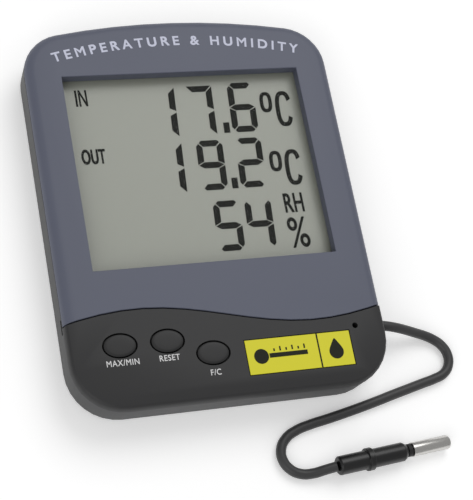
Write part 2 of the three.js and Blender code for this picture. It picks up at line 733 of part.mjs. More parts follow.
const glassSize = [WINDOW_WIDTH + 2 * GLASS_MARGIN, WINDOW_HEIGHT + 2 * GLASS_LEDGE];
const rearGlassSize = [glassSize[0], glassSize[1] - 2 * (CONNECTOR_WIDTH + 2 * GAP)];

function lcdHolder() {
  const inner = glassSize.map((value) => value + 2 * GAP);
  const outer = inner.map((value) => value + 2 * HOLDER_WALL);
  const ring = slab([0, WINDOW_Y], outer, ON_BOARD, GLASS_TOP);
  return ring.subtract(slab([0, WINDOW_Y], inner, 0, FACE));
}

function connectorStrip(side) {
  const y = WINDOW_Y + side * (glassSize[1] / 2 - CONNECTOR_WIDTH / 2);
  return slab([0, y], [WINDOW_WIDTH, CONNECTOR_WIDTH], ON_BOARD, GLASS_TOP - GLASS_THICKNESS - GAP);
}

// ---- Board and what it carries ----

function mainBoard() {
  const top = CASE_HEIGHT / 2 - BOARD_TOP_MARGIN;
  const switchEdge = BAY_LEFT - BAY_WALL - BOARD_CLEARANCE;
  const bayEdge = BAY_MIDDLE_Y + BAY_HALF + BAY_WALL + TAB_REACH + GAP;
  const screwEdge = BOARD_SCREW_Y - BOSS_RADIUS + GAP;
  const shoulder = HALF_WIDTH - RIGHT_SCREW[0] - BOSS_RADIUS - 2 * BOARD_CLEARANCE;
  const shape = polygon([
    [-BOARD_HALF_WIDTH, screwEdge - SWITCH_SIZE - 2],
    [-TAIL_LEFT, screwEdge - SWITCH_SIZE - 2],
    [-TAIL_LEFT, BUTTON_LINE - 9.75],
    [switchEdge, BUTTON_LINE - 9.75],
    [switchEdge, bayEdge],
    [Math.min(shoulder, BOARD_SCREW_X), bayEdge],
    [Math.min(shoulder, BOARD_SCREW_X), screwEdge],
    [BOARD_HALF_WIDTH, screwEdge],
    [BOARD_HALF_WIDTH, top],
    [-BOARD_HALF_WIDTH, top],
  ]);
  let made = prism(shape, BOARD_BACK, BOARD_FRONT);
  for (const side of [-1, 1]) {
    const place = [side * BOARD_SCREW_X, BOARD_SCREW_Y];
    made = made.subtract(post(place, SCREW_SHANK + SCREW_CLEARANCE, 0, FACE));
  }
  return made;
}

function chipBlob() {
  const profile = [
    [0, -1.2],
    [2.4, -1.1],
    [4.6, -0.7],
    [6, 0],
    [0, 0],
  ];
  const geometry = turned(profile, 20);
  geometry.translate(8, 14, BOARD_BACK - GAP);
  return geometry;
}

function crystal() {
  const geometry = new THREE.CylinderGeometry(1, 1, 6, 16);
  geometry.rotateZ(Math.PI / 2);
  geometry.translate(-26, PARTS_Y, ON_BOARD + 1);
  return geometry;
}

function capacitor() {
  const geometry = new THREE.CylinderGeometry(2, 2, 5, 20);
  geometry.rotateX(Math.PI / 2);
  geometry.translate(-13, PARTS_Y, ON_BOARD + 2.5);
  return geometry;
}

function humiditySensor() {
  return slab([-34, PARTS_Y], [5, 5], ON_BOARD, ON_BOARD + 1.2);
}

// A glass bead on two legs, near the side slot.
function roomThermistor() {
  const bead = new THREE.SphereGeometry(1.1, 14, 10);
  bead.translate(THERMISTOR_X, SLOT_Y, 10);
  const legs = [-0.5, 0.5].map((offset) => post([THERMISTOR_X, SLOT_Y + offset], 0.22, ON_BOARD + 0.2, 10, 8));
  const footing = slab([THERMISTOR_X, SLOT_Y], [1.2, 2], ON_BOARD, ON_BOARD + 0.4);
  return joined(solid(bead), ...legs, footing);
}

function tactSwitch(button) {
  const centre = buttonCentre(button);
  const top = ON_BOARD + SWITCH_HEIGHT;
  const body = slab(centre, [SWITCH_SIZE, SWITCH_SIZE], ON_BOARD, top);
  const well = post(centre, PLUNGER_RADIUS + GAP, top - BUTTON_TRAVEL - 3 * GAP, FACE);
  return body.subtract(well);
}

function plungerTop() {
  return ON_BOARD + SWITCH_HEIGHT + PLUNGER_PROUD;
}

function switchPlunger(button) {
  const bottom = ON_BOARD + SWITCH_HEIGHT - 2 * GAP;
  return post(buttonCentre(button), PLUNGER_RADIUS, bottom, plungerTop());
}

// ---- Buttons: oval cap, retaining flange and stem ----

function buttonCap(button) {
  const centre = buttonCentre(button);
  const size = BUTTON_HOLE.map((value) => value - 2 * BUTTON_RING);
  const edge = 0.5;
  const flangeTop = PANEL_UNDERSIDE - GAP;
  const cap = new THREE.ExtrudeGeometry(ellipse(centre, size.map((value) => value - 2 * edge)), {
    depth: FACE + BUTTON_PROUD - flangeTop,
    bevelThickness: edge,
    bevelSize: edge,
    bevelSegments: 2,
    curveSegments: OVAL_STEPS,
  });
  cap.translate(0, 0, flangeTop - edge);
  const flangeSize = BUTTON_HOLE.map((value) => value + 2 * BUTTON_LIP);
  const flange = prism(ellipse(centre, flangeSize), flangeTop - BUTTON_LIP, flangeTop, OVAL_STEPS);
  const stem = post(centre, PLUNGER_RADIUS + GAP, plungerTop() + GAP, flangeTop);
  return joined(solid(cap), flange, stem);
}

// ---- Screws ----

// A pan-head screw with a cross recess, its head's top at the origin and its shank along +Z.
function screw(length) {
  const [headRadius, headHeight] = SCREW_HEAD;
  const profile = [
    [0, 0],
    [headRadius * 0.7, 0],
    [headRadius, headHeight * 0.45],
    [headRadius, headHeight],
    [SCREW_SHANK, headHeight],
    [SCREW_SHANK, length - 1],
    [0.3, length],
    [0, length],
  ];
  const made = solid(turned(profile, 16));
  const [slotLength, slotWidth, slotDepth] = SCREW_SLOT;
  const arms = slab([0, 0], [slotLength, slotWidth], -1, slotDepth);
  return made.subtract(arms.add(slab([0, 0], [slotWidth, slotLength], -1, slotDepth)));
}

function caseScrew(place) {
  return screw(DECK_UNDERSIDE - 2 * SCREW_RECESS).translate([...place, SCREW_RECESS]);
}

function boardScrew(side) {
  const head = BOARD_BACK - GAP - SCREW_HEAD[1];
  return screw(6.4).translate([side * BOARD_SCREW_X, BOARD_SCREW_Y, head]);
}

// ---- Cord, probe and inner leads ----

function grommet() {
  const [flangeRadius, flangeWidth] = GROMMET_FLANGE;
  const bore = CORD_RADIUS;
  const neckEnd = flangeWidth + GAP + WALL + GROMMET_PROUD;
  const profile = [
    [bore, 0],
    [flangeRadius, 0],
    [flangeRadius, flangeWidth],
    [GROMMET_NECK, flangeWidth],
    [GROMMET_NECK, neckEnd],
    [bore, neckEnd],
    [bore, 0],
  ];
  const foot = HALF_WIDTH - WALL - GAP - flangeWidth;
  return alongX(turned(profile, 20), [foot - GAP, ...CORD_EXIT]);
}

// The probe's pieces share one axis: it rests on its ring and on the end of its tip.
const tipStart = PROBE_BODY[1] + PROBE_COLLAR[1] + 2 * GAP;
const probeLength = tipStart + PROBE_TIP[1];
const probeTilt = Math.asin((PROBE_RING[0] - PROBE_TIP[0]) / (probeLength - PROBE_RING[2]));
const probeHeight = PROBE_RING[0] + PROBE_LIFT + PROBE_RING[2] * Math.sin(probeTilt);

function onProbe(geometry, start) {
  geometry.translate(0, 0, start);
  geometry.rotateY(Math.PI / 2 + probeTilt);
  geometry.rotateZ(THREE.MathUtils.degToRad(PROBE_ANGLE));
  geometry.translate(...PROBE_START, probeHeight);
  return geometry;
}

function probeBody() {
  const [radius, length] = PROBE_BODY;
  const [ringRadius, ringWidth, ringPlace] = PROBE_RING;
  const bevel = 0.5;
  const profile = [
    [0, 0],
    [radius - bevel, 0],
    [radius, bevel],
    [radius, ringPlace - ringWidth / 2],
    [ringRadius, ringPlace - ringWidth / 2],
    [ringRadius, ringPlace + ringWidth / 2],
    [radius, ringPlace + ringWidth / 2],
    [radius, length - 3 * bevel],
    [radius - 2 * bevel, length],
    [0, length],
  ];
  return onProbe(turned(profile, 24), 0);
}

function probeCollar() {
  const [radius, length] = PROBE_COLLAR;
  const profile = [
    [0, 0],
    [radius, 0],
    [radius, length],
    [0, length],
  ];
  return onProbe(turned(profile, 20), PROBE_BODY[1] + GAP);
}

function probeTip() {
  const [radius, length] = PROBE_TIP;
  const profile = [
    [0, 0],
    [radius, 0],
    [radius, length - 1],
    [radius * 0.9, length - 0.4],
    [radius * 0.65, length],
    [0, length],
  ];
  return onProbe(turned(profile, 24), tipStart);
}

const leadStart = BAY_MIDDLE_Y + BAY_HALF + BAY_WALL + TAB_REACH + GAP;
const leadHeight = CELL_CENTRE_HEIGHT + TAB_WIDTH / 2;

const negativeLead = [
  [negativeX, leadStart, leadHeight],
  [negativeX - 0.3, leadStart + 1.5, leadHeight + 0.4],
  [negativeX - 1.2, leadStart + 3.4, leadHeight],
  [negativeX - 1.6, leadStart + 4.2, ON_BOARD + 0.7],
];

const positiveLead = [
  [positiveX, leadStart, leadHeight + 0.4],
  [positiveX - 1.5, leadStart + 1.6, leadHeight + 1.2],
  [positiveX - 6, leadStart + 3, leadHeight + 1],
  [positiveX - 10, leadStart + 3.6, leadHeight],
  [positiveX - 12, leadStart + 3.8, ON_BOARD + 0.7],
];

const probeLead = [
  [HALF_WIDTH - WALL - 2 * GAP - GROMMET_FLANGE[1] - GAP, ...CORD_EXIT],
  [48, leadStart + 1, 9.2],
  [44, leadStart + 4.4, 10.4],
  [36, leadStart + 4.8, 9.6],
  [31, leadStart + 5.6, 8],
  [29, leadStart + 6, ON_BOARD + 0.7],
];

// ---- The assembly ----

const group = new THREE.Group();

function put(name, shape, material) {
  const geometry = shape.isBufferGeometry ? shape : geometryOf(shape);
  const mesh = new THREE.Mesh(geometry, material);
  mesh.name = name;
  group.add(mesh);
}

put("rear_case", rearCase(), rearGrey);
put("front_case", frontCase(), charcoal);
put("front_bezel", frontBezel(), slate);
put("label_plate", labelPlate(), yellow);

const lensSize = [WINDOW_WIDTH + 2 * LENS_MARGIN, WINDOW_HEIGHT + 2 * LENS_MARGIN];
const reflectorSize = [rearGlassSize[0] - 2, rearGlassSize[1] - 2];
put("display_lens", displaySheet(lensSize, LENS_TOP, LENS_THICKNESS), clear);
put("lcd_front_glass", displaySheet(glassSize, GLASS_TOP, GLASS_THICKNESS), glass);
put("lcd_rear_glass", displaySheet(rearGlassSize, REAR_GLASS_TOP, GLASS_THICKNESS), glass);
put("lcd_reflector", displaySheet(reflectorSize, REFLECTOR_TOP, REFLECTOR_THICKNESS), silver);
put("lcd_holder", lcdHolder(), white);
put("connector_strip_top", connectorStrip(1), connector);
put("connector_strip_bottom", connectorStrip(-1), connector);

put("main_board", mainBoard(), boardGreen);
put("chip_blob", chipBlob(), black);
put("crystal", crystal(), steel);
put("capacitor", capacitor(), black);
put("humidity_sensor", humiditySensor(), white);
put("room_thermistor", roomThermistor(), black);

for (const button of BUTTONS) {
  const [name] = button;
  put(name + "_button", buttonCap(button), charcoal);
  put(name + "_plunger", switchPlunger(button), black);
  put(name + "_switch", tactSwitch(button), black);
}

put("battery_cell", cell(), steel);
put("battery_spring", batterySpring(), nickel);
put("negative_contact", contact(negativeX), nickel);
put("positive_contact", contact(positiveX), nickel);
put("battery_door", batteryDoor(), rearGrey);
put("kickstand", kickstand(), rearGrey);

CASE_SCREWS.forEach((place, i) => put("case_screw_" + (i + 1), caseScrew(place), steel));
put("board_screw_left", boardScrew(-1), steel);
put("board_screw_right", boardScrew(1), steel);

put("negative_lead", bar(negativeLead, 0.5, 10, 6), black);
put("positive_lead", bar(positiveLead, 0.5, 14, 6), red);
put("probe_lead", bar(probeLead, 0.8, 20, 6), cordBlack);
put("cord_grommet", grommet(), black);
put("probe_cord", bar(CORD_ROUTE, CORD_RADIUS, CORD_STEPS, CORD_SIDES), cordBlack);
put("probe_body", probeBody(), black);
put("probe_collar", probeCollar(), black);
put("probe_tip", probeTip(), steel);

export default group;
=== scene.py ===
import json
import math

import bmesh
import bpy
from mathutils import Matrix, Vector


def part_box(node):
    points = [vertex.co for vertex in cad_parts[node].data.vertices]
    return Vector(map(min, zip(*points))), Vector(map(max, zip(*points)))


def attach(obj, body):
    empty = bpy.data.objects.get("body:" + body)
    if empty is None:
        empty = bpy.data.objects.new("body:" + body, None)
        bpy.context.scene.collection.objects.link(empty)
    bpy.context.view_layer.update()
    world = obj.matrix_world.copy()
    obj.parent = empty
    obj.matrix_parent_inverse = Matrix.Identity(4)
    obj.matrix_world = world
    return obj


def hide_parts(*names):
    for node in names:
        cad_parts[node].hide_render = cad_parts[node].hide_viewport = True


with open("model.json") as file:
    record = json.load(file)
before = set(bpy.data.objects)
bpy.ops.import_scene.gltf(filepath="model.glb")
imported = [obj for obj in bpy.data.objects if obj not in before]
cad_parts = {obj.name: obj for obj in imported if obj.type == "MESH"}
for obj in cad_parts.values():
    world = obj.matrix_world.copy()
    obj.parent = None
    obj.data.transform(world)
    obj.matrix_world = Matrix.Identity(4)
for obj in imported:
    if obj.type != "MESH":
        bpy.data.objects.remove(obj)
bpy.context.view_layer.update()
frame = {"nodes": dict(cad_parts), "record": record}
MM = 0.001
scene = bpy.context.scene

# ---- Camera ----
# The instrument lies on its back on a table. The camera looks down on the display from its lower
# left, a little turned, with a long lens.

camera_place = Vector((-147.64, -175.61, 456.49)) * MM
camera_right = Vector((0.9462, -0.1814, 0.268))
camera_back = Vector((-0.3145, -0.3193, 0.894)).normalized()
camera_up = camera_back.cross(camera_right).normalized()
camera_right = camera_up.cross(camera_back)

camera_data = bpy.data.cameras.new("camera")
camera_data.sensor_fit = "HORIZONTAL"
camera_data.sensor_width = 36
camera_data.lens = 113.28
camera_data.clip_start = 0.01
camera = bpy.data.objects.new("camera", camera_data)
scene.collection.objects.link(camera)
turn = Matrix((camera_right, camera_up, camera_back)).transposed()
camera.matrix_world = Matrix.Translation(camera_place) @ turn.to_4x4()
scene.camera = camera

# ---- Probe cord ----
# A soft round PVC jacket, 3.4 mm thick. It leaves the grommet in the right wall, drops to the
# table and lies in two loose bends before it goes into the back of the probe.

CORD_ROUTE = [
    (54.65, -46.6, 8), (57.6, -47.1, 7.9), (60.2, -47.6, 7.6), (63.2, -48.2, 6.8),
    (66.4, -48.8, 5.5), (69.8, -49.5, 4), (73.4, -50.4, 2.7), (76.8, -51.9, 1.9),
    (79.6, -54.4, 1.75), (81, -57.9, 1.75), (80.4, -61.6, 1.75), (77.9, -64.4, 1.75),
    (74.2, -65.8, 1.75), (69.5, -66.9, 1.75), (64, -68.2, 1.75), (58, -69.6, 1.75),
    (51.5, -71.2, 1.75), (45, -72.7, 1.75), (38.4, -74.1, 1.75), (32.3, -75.3, 1.75),
    (26.2, -76.4, 1.75), (20.6, -77.9, 1.75), (16.6, -80.1, 1.75), (14.3, -83.4, 1.75),
    (14.2, -87.2, 1.75), (16.2, -90.5, 1.75), (19.6, -92.4, 1.8), (23.4, -92.8, 2.4),
    (27.2, -92.4, 3.5), (31.2, -91.93, 4.4),
]
CORD_THICKNESS = 3.4


class Flow:
    """A shader socket that sums can be written with, and that other nodes are made from."""

    def __init__(self, tree, socket=None):
        self.tree = tree
        self.socket = socket

    def make(self, kind, settings=None, inputs=None, output=0):
        """A new node with its settings and its sockets' values or links."""
        node = self.tree.nodes.new(kind)
        for name, value in (settings or {}).items():
            setattr(node, name, value)
        for name, value in (inputs or {}).items():
            if isinstance(value, Flow):
                self.tree.links.new(value.socket, node.inputs[name])
            else:
                node.inputs[name].default_value = value
        return Flow(self.tree, node.outputs[output])

    def maths(self, operation, first, second):
        """One sum on two values, as a Math node."""
        return self.make("ShaderNodeMath", {"operation": operation}, {0: first, 1: second})

    def __add__(self, other):
        return self.maths("ADD", self, other)

    def __radd__(self, other):
        return self.maths("ADD", other, self)

    def __sub__(self, other):
        return self.maths("SUBTRACT", self, other)

    def __rsub__(self, other):
        return self.maths("SUBTRACT", other, self)

    def __mul__(self, other):
        return self.maths("MULTIPLY", self, other)

    def __rmul__(self, other):
        return self.maths("MULTIPLY", other, self)

    def mixed(self, low, high):
        """A colour between two others, as far along as this value says."""
        # a Mix node's colours are its sockets 6 and 7, and its mixed colour is output 2
        inputs = {0: self, 6: low, 7: high}
        return self.make("ShaderNodeMix", {"data_type": "RGBA"}, inputs, output=2)

    def bump(self, strength, distance):
        """Surface directions that follow this value as a height."""
        inputs = {"Strength": strength, "Distance": distance, "Height": self}
        return self.make("ShaderNodeBump", None, inputs)


def from_screen(red, green, blue):
    """A linear colour from three screen values of 0 to 255."""
    def linear(value):
        share = value / 255
        return share / 12.92 if share <= 0.04045 else ((share + 0.055) / 1.055) ** 2.4
    return (linear(red), linear(green), linear(blue), 1)


def shaded(colour, amount):
    """A colour made darker or lighter."""
    return tuple(value * amount for value in colour[:3]) + (1,)


def new_material(name):
    """A material, the start of its sums, and its main shader's sockets."""
    material = bpy.data.materials.new(name)
    material.use_nodes = True
    shader = material.node_tree.nodes["Principled BSDF"]
    return material, Flow(material.node_tree), shader.inputs


def join(flow, socket):
    """Feeds one of the main shader's sockets."""
    flow.tree.links.new(flow.socket, socket)


OBJECT_PLACE = 3  # the Texture Coordinate node's Object output


def noise(start, scale, detail=4.0, roughness=0.55):
    """Cloudy noise from 0 to 1 that stays put on its piece."""
    place = start.make("ShaderNodeTexCoord", output=OBJECT_PLACE)
    inputs = {"Vector": place, "Scale": scale, "Detail": detail, "Roughness": roughness}
    return start.make("ShaderNodeTexNoise", None, inputs)


BLOTCH_SCALE = 35.0
GRIT_SCALE = 2600.0
GRIT_HEIGHT = 0.06


def plastic(name, colour, rough, grain=1.0, variation=0.1, coat=0.0):
    """Moulded plastic: a fine spark-eroded grain, faint blotches of colour and of gloss."""
    material, start, sockets = new_material(name)
    blotch = noise(start, BLOTCH_SCALE)
    grit = noise(start, GRIT_SCALE, 2.0)
    join(blotch.mixed(shaded(colour, 1 - variation), shaded(colour, 1 + variation)), sockets["Base Color"])
    join(rough - 0.06 + blotch * 0.08 + grit * 0.05, sockets["Roughness"])
    join(grit.bump(0.25 * grain, GRIT_HEIGHT * MM), sockets["Normal"])
    sockets["Coat Weight"].default_value = coat
    sockets["Coat Roughness"].default_value = 0.25
    return material


cord_jacket = plastic("cord_jacket", from_screen(56, 56, 57), 0.45, 0.4, 0.15)

cord_curve = bpy.data.curves.new("probe_cord_line", "CURVE")
cord_curve.dimensions = "3D"
cord_line = cord_curve.splines.new("BEZIER")
cord_line.bezier_points.add(len(CORD_ROUTE) - 1)
for knot, place in zip(cord_line.bezier_points, CORD_ROUTE):
    knot.co = Vector(place) * MM
    knot.handle_left_type = knot.handle_right_type = "AUTO"
cord_curve.bevel_depth = CORD_THICKNESS / 2 * MM
cord_curve.bevel_resolution = 8
cord_curve.resolution_u = 12
cord_curve.use_fill_caps = True
cord_curve.materials.append(cord_jacket)
probe_cord = bpy.data.objects.new("probe_cord_jacket", cord_curve)
scene.collection.objects.link(probe_cord)
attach(probe_cord, "case")
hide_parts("probe_cord")

# ---- Case: bezel, charcoal front, rear tray, battery door and kickstand ----
# Injection-moulded ABS with a fine matt grain. The slate bezel and the charcoal panel meet along
# a wavy groove. Each moulding keeps its designed shape; the bezel, battery door and kickstand have their
# sharp edges broken a little.


def body_holding(node):
    """The name of the moving or fixed body that a designed piece belongs to."""
    bodies = frame["record"]["behaviour"]["bodies"]
    return next(body for body, nodes in bodies.items() if node in nodes)


def smooth_shade(shape, flat_angle):
    """Shades faces smooth, and keeps the edges that turn by more than an angle in degrees sharp."""
    for face in shape.faces:
        face.smooth = True
    for line in shape.edges:
        line.smooth = line.calc_face_angle(0) < math.radians(flat_angle)


MERGE_GAP = 0.002
NEARLY_FLAT = math.radians(0.6)


def tidy_copy(node, name, material, edge=0.12, flat_angle=32):
    """A merged, smooth-shaded copy of a designed piece, with its sharp edges rounded over when an edge width
    is given.
    """
    mesh = frame["nodes"][node].data.copy()
    mesh.name = name
    shape = bmesh.new()
    shape.from_mesh(mesh)
    bmesh.ops.remove_doubles(shape, verts=shape.verts, dist=MERGE_GAP * MM)
    if edge:
        bmesh.ops.dissolve_limit(
            shape, angle_limit=NEARLY_FLAT, verts=shape.verts, edges=shape.edges, delimit={"NORMAL"}
        )
    smooth_shade(shape, flat_angle)
    shape.to_mesh(mesh)
    shape.free()
    mesh.materials.clear()
    mesh.materials.append(material)
    piece = bpy.data.objects.new(name, mesh)
    scene.collection.objects.link(piece)
    if edge:
        rounding = piece.modifiers.new("broken edges", "BEVEL")
        rounding.width = edge * MM
        rounding.segments = 2
        rounding.limit_method = "ANGLE"
        rounding.angle_limit = math.radians(flat_angle)
    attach(piece, body_holding(node))
    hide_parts(node)
    return piece


slate = plastic("slate_bezel_plastic", from_screen(92, 96, 112), 0.5, 1.0, 0.05)
charcoal = plastic("charcoal_front_plastic", from_screen(41, 41, 42), 0.52, 1.0, 0.08)
rear_grey = plastic("rear_tray_plastic", from_screen(45, 46, 47), 0.52, 1.0, 0.08)

tidy_copy("front_bezel", "front_bezel_moulding", slate, 0.2)
tidy_copy("front_case", "front_case_moulding", charcoal, 0)
tidy_copy("rear_case", "rear_tray", rear_grey, 0)
tidy_copy("battery_door", "battery_door_leaf", rear_grey, 0.12)
tidy_copy("kickstand", "kickstand_flap", rear_grey, 0.06)

# ---- Buttons ----
# Three oval charcoal caps with a low dome and a soft shoulder. Each stands in a dark ring of
# clearance and is moulded with the stem that presses its switch.

button_plastic = plastic("button_plastic", from_screen(28, 28, 29), 0.5, 0.6, 0.08)
BUTTON_RADII = (5.35, 3.75)
# Height, and share of the cap's size: the stem, the wider flange that holds the cap in, the cap's
# side and its dome.
BUTTON_RINGS = [
    (11.25, 0.3), (13.4, 0.3), (13.4, 1.2), (14.2, 1.2), (14.2, 1.0), (16.1, 1.0), (16.45, 0.97),
    (16.6, 0.9), (16.66, 0.75), (16.7, 0.4),
]


def middle(node):
    """The middle of a designed piece's box, in millimetres."""
    low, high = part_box(node)
    return (low + high) / 2 / MM


def piece_from(shape, name, material):
    """An object at the origin from a shape in metres."""
    mesh = bpy.data.meshes.new(name)
    shape.to_mesh(mesh)
    shape.free()
    mesh.materials.append(material)
    piece = bpy.data.objects.new(name, mesh)
    scene.collection.objects.link(piece)
    return piece


def oval_button(name, centre):
    """A disc is pulled upwards ring by ring, each scaled about the button's own axis."""
    shape = bmesh.new()
    height, share = BUTTON_RINGS[0]
    foot = bmesh.ops.create_circle(shape, cap_ends=True, segments=72, radius=1)["verts"]
    bmesh.ops.scale(shape, vec=(BUTTON_RADII[0] * share, BUTTON_RADII[1] * share, 1), verts=foot)
    bmesh.ops.translate(shape, vec=(centre.x, centre.y, height), verts=foot)
    rim = [line for line in shape.edges if line.is_boundary]
    own_axis = Matrix.Translation((-centre.x, -centre.y, 0))
    for next_height, next_share in BUTTON_RINGS[1:]:
        grown = bmesh.ops.extrude_edge_only(shape, edges=rim)["geom"]
        fresh = [item for item in grown if isinstance(item, bmesh.types.BMVert)]
        rim = [item for item in grown if isinstance(item, bmesh.types.BMEdge)]
        ratio = next_share / share
        bmesh.ops.scale(shape, vec=(ratio, ratio, 1), space=own_axis, verts=fresh)
        bmesh.ops.translate(shape, vec=(0, 0, next_height - height), verts=fresh)
        share, height = next_share, next_height
    bmesh.ops.edgeloop_fill(shape, edges=rim)
    bmesh.ops.recalc_face_normals(shape, faces=shape.faces)
    bmesh.ops.scale(shape, vec=(MM, MM, MM), verts=shape.verts)
    smooth_shade(shape, 40)
    return piece_from(shape, name, button_plastic)


for node in ("max_min_button", "reset_button", "unit_button"):
    cap = oval_button(node + "_cap", middle(node))
    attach(cap, node)
    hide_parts(node)

# ---- Display: clear window, LCD glass and its dark figures ----
# A reflective grey-green LCD under a thin clear window. Its figures are seven-segment digits
# that lean a little to the right, with unit signs and the names of the two temperature rows.


def give_finish(node, material):
    """Puts one material on a designed piece that keeps its own mesh."""
    mesh = frame["nodes"][node].data
    mesh.materials.clear()
    mesh.materials.append(material)


def ink(name, dark, light, rough, shine, fleck_scale):
    """A flat printed colour with faint fine flecks."""
    material, start, sockets = new_material(name)
    join(noise(start, fleck_scale).mixed(dark, light), sockets["Base Color"])
    sockets["Roughness"].default_value = rough
    sockets["Specular IOR Level"].default_value = shine
    return material


CLOUD_SCALE = 14.0
lcd_material, start, sockets = new_material("lcd_glass_face")
cloud = noise(start, CLOUD_SCALE, 3.0)
lcd_colour = from_screen(162, 165, 154)
join(cloud.mixed(shaded(lcd_colour, 0.97), shaded(lcd_colour, 1.03)), sockets["Base Color"])
join(0.3 + cloud * 0.06, sockets["Roughness"])
give_finish("lcd_front_glass", lcd_material)

SMUDGE_SCALE = 60.0
lens_material, start, sockets = new_material("window_sheet")
smudge = noise(start, SMUDGE_SCALE)
join(0.04 + smudge * 0.05, sockets["Roughness"])
sockets["Base Color"].default_value = (0.1, 0.1, 0.1, 1)
sockets["Alpha"].default_value = 0.03
give_finish("display_lens", lens_material)

segment_ink = ink(
    "lcd_segment_ink", from_screen(22, 24, 20), from_screen(32, 34, 30),
    rough=0.6, shine=0.1, fleck_scale=900.0,
)

INK_LIFT = 0.04  # clear of the glass, so that the two don't lie in one plane
DISPLAY_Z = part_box("lcd_front_glass")[1].z / MM + INK_LIFT
INK_DEPTH = 0.05
SLIVER_AREA = 0.01  # mm2; a thinner sliver's direction can't be trusted, so it is never turned over
LEAN = 0.055


def print_piece(name, shape, material):
    """A thin printed shape on the case: flat faces in millimetres, given the ink's thickness."""
    shape.normal_update()
    downward = [face for face in shape.faces if face.normal.z < 0 and face.calc_area() > SLIVER_AREA]
    bmesh.ops.reverse_faces(shape, faces=downward)
    bmesh.ops.scale(shape, vec=(MM, MM, MM), verts=shape.verts)
    piece = piece_from(shape, name, material)
    layer = piece.modifiers.new("ink", "SOLIDIFY")
    layer.thickness = INK_DEPTH * MM
    layer.offset = 1
    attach(piece, "case")


def flat_face(shape, points, z):
    """One level face through points in order."""
    corners = [shape.verts.new((x, y, z)) for x, y in points]
    shape.faces.new(corners)


# Which bars of a seven-segment digit are dark: top, upper right, lower right, bottom, lower left,
# upper left, middle.
DIGIT_BARS = {
    "1": (1, 2), "7": (0, 1, 2), "6": (0, 2, 3, 4, 5, 6), "9": (0, 1, 2, 3, 5, 6),
    "2": (0, 1, 3, 4, 6), "5": (0, 2, 3, 5, 6), "4": (1, 2, 5, 6),
}
BAR_WIDTH = 2.25
BAR_GAP = 0.3
SHARP_CUT, ROUND_CUT = 0.4, 1.9  # how far a figure's outer corners are cut off


def digit(shape, figure, corner, size):
    """Draws one figure from its lower left corner, each bar as a flat face with mitred ends."""
    width, height = size
    waist = height / 2
    thick, gap = BAR_WIDTH, BAR_GAP
    cut = SHARP_CUT if figure in "17" else ROUND_CUT

    def lying(up):
        """The top or the bottom bar, with up turning heights over for the bottom one."""
        side = (cut + gap) / 2
        points = [(cut, 0), (width - cut, 0), (width - side, side - gap), (width - thick - gap / 2, thick),
                  (thick + gap / 2, thick), (side, side - gap)]
        return [(x, height - y if up else y) for x, y in points]

    def standing(right, up):
        """One of the four upright bars, drawn as the upper left one and turned over for the others."""
        points = [((cut - gap) / 2, (cut - gap) / 2 + gap), (0, cut + gap / 2), (0, waist - gap),
                  (thick, waist - thick / 2 - gap), (thick, thick + gap)]
        return [(width - x if right else x, height - y if up else y) for x, y in points]

    half = thick / 2
    bars = {
        0: lying(True),
        3: lying(False),
        6: [(gap, waist), (thick, waist + half), (width - thick, waist + half),
            (width - gap, waist), (width - thick, waist - half), (thick, waist - half)],
        1: standing(True, True),
        2: standing(True, False),
        4: standing(False, False),
        5: standing(False, True),
    }
    for bar in DIGIT_BARS[figure]:
        leaned = [(corner[0] + x + y * LEAN, corner[1] + y) for x, y in bars[bar]]
        flat_face(shape, leaned, DISPLAY_Z)


DIGIT_WIDTH = 9.5
POINT_WIDTH, POINT_HEIGHT, POINT_LEAN = 2.2, 3.9, 0.2
readings = bmesh.new()
for figure, corner, height in (
    ("1", (-12.9, 25.8), 19.0), ("7", (0.7, 25.9), 18.8), ("6", (15.9, 26.4), 18.9),
    ("1", (-13.8, 5.1), 18.6), ("9", (0.8, 5.5), 18.4), ("2", (14.9, 5.6), 18.5),
    ("5", (2.7, -16.8), 18.1), ("4", (13.9, -17.2), 18.6),
):
    digit(readings, figure, corner, (DIGIT_WIDTH, height))
for x, y in ((12.8, 26.4), (11.8, 5.6)):
    right, top = x + POINT_WIDTH, y + POINT_HEIGHT
    point = [(x, y), (right, y), (right + POINT_LEAN, top), (x + POINT_LEAN, top)]
    flat_face(readings, point, DISPLAY_Z)
print_piece("lcd_readings", readings, segment_ink)

HALVINGS = 12


def thickened(shape, amount):
    """Flat letters with their outlines moved outwards, for a bolder stroke."""
    pushes = {}
    for line in shape.edges:
        if not line.is_boundary:
            continue
        first, second = line.verts
        out = (second.co - first.co).cross(Vector((0, 0, 1))).normalized()
        if out.dot(line.link_faces[0].calc_center_median() - first.co) > 0:
            out = -out
        for vert in line.verts:
            pushes.setdefault(vert, []).append(out)
    starts = {vert: vert.co.copy() for vert in pushes}
    for vert, outs in pushes.items():
        vert.co += sum(outs, Vector((0, 0, 0))).normalized() * amount
    # A push that folds a face over at a sharp inner corner is halved, over and over, until the face
    # lies flat or next to nothing is left of the push.
    for halving in range(HALVINGS):
        shape.normal_update()
        folded = {vert for face in shape.faces if face.normal.z < 0 for vert in face.verts if vert in starts}
        for vert in folded:
            vert.co = (vert.co + starts[vert]) / 2
    return shape


LETTER_GAP = 0.01  # points of a letter that are closer than this are one


